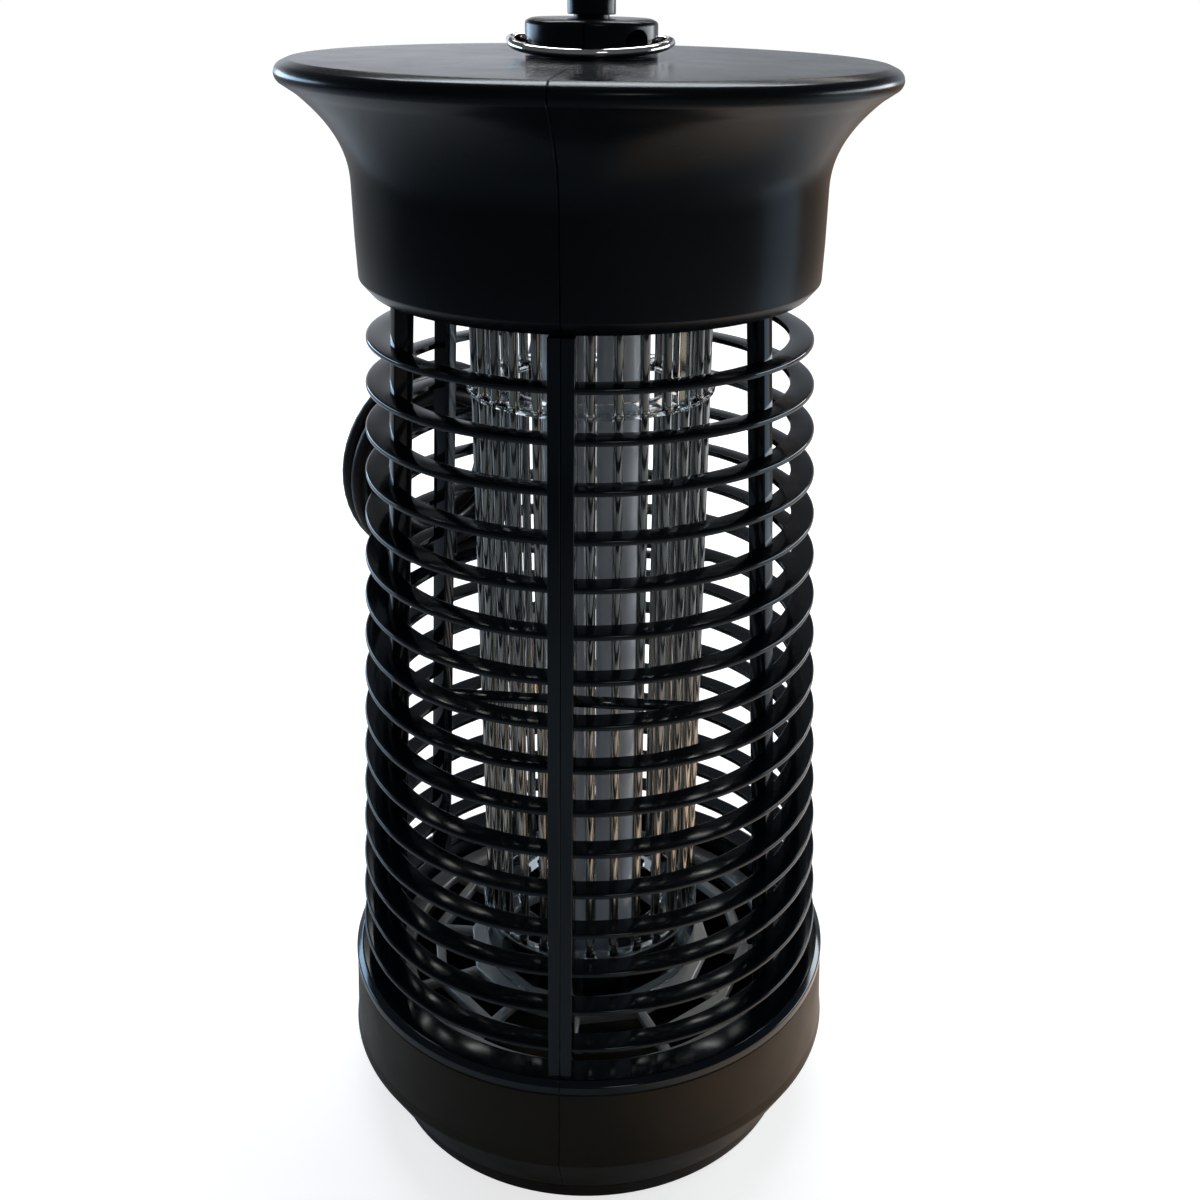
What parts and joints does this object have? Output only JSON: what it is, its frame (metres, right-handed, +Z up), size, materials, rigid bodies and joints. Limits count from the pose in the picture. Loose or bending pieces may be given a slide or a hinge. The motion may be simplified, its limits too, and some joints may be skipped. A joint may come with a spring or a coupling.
{
  "type": "electric bug zapper",
  "caption": "Hanging electric insect killer: black flared hood, ringed cage round a charged rod grid and ultraviolet lamp, web grate, drop-out catch tray, wire bail and coiled mains cord.",
  "frame": {"origin": "on the floor under the middle of the catch tray", "axes": "+Z up along the lamp; the casing parts along the plane X = 0, and its front seam faces -Y"},
  "size_m": [0.1629, 0.1654, 0.4006],
  "materials": {
    "textured_black_plastic": "fine satin texture",
    "gloss_black_plastic": "polished moulding",
    "silver_plastic": "silver-finished moulding",
    "polished_steel": "polished and plated",
    "clear_plastic": "clear moulding",
    "lamp_glass": "coated inside, frosted white",
    "white_plastic": "satin",
    "circuit_board": "lacquered laminate",
    "yellow_tape": "wound insulating tape",
    "film_capacitor": "dipped coating",
    "red_lead": "insulated wire",
    "black_cord": "soft vinyl",
    "brass": "stamped"
  },
  "bodies": {
    "casing": {"hood_left": "textured_black_plastic", "hood_right": "textured_black_plastic", "base_left": "textured_black_plastic", "base_right": "textured_black_plastic", "cage_left": "gloss_black_plastic", "cage_right": "gloss_black_plastic", "web_grate": "silver_plastic", "chamber_plate": "gloss_black_plastic", "cord_tie": "gloss_black_plastic", "grid_a": "polished_steel", "grid_b": "polished_steel", "boss_screw_front": "polished_steel", "boss_screw_rear": "polished_steel", "plate_screw_1": "polished_steel", "plate_screw_2": "polished_steel", "plate_screw_3": "polished_steel", "plate_screw_4": "polished_steel", "grate_screw_1": "polished_steel", "grate_screw_2": "polished_steel", "grate_screw_3": "polished_steel", "grate_screw_4": "polished_steel", "board_screw_1": "polished_steel", "board_screw_2": "polished_steel", "board_screw_3": "polished_steel", "board_screw_4": "polished_steel", "socket_screw_1": "polished_steel", "socket_screw_2": "polished_steel", "top_grid_holder": "clear_plastic", "bottom_grid_holder": "clear_plastic", "uv_lamp_tube": "lamp_glass", "uv_lamp_base": "white_plastic", "lamp_socket": "white_plastic", "terminal_block": "white_plastic", "circuit_board": "circuit_board", "ballast_choke": "yellow_tape", "film_capacitor_1": "film_capacitor", "film_capacitor_2": "film_capacitor", "film_capacitor_3": "film_capacitor", "grid_lead_a": "red_lead", "grid_lead_b": "red_lead", "lamp_lead_1": "red_lead", "lamp_lead_2": "red_lead", "inner_mains_lead": "black_cord", "cord_lead": "black_cord", "cord_coil": "black_cord", "strain_relief": "black_cord", "plug_body": "black_cord", "plug_blade_1": "brass", "plug_blade_2": "brass"},
    "bail": {"hanging_bail": "polished_steel"},
    "tray": {"catch_tray": "textured_black_plastic"}
  },
  "joints": [
    {"name": "bail_swing", "type": "hinge", "parent": "casing", "child": "bail", "pos_m": [0, 0, 0.331], "axis": [-1, 0, 0], "range_deg": [0, 75]},
    {"name": "tray_drop", "type": "slide", "parent": "casing", "child": "tray", "axis": [0, 0, 1], "range_m": [-0.045, 0]}
  ]
}
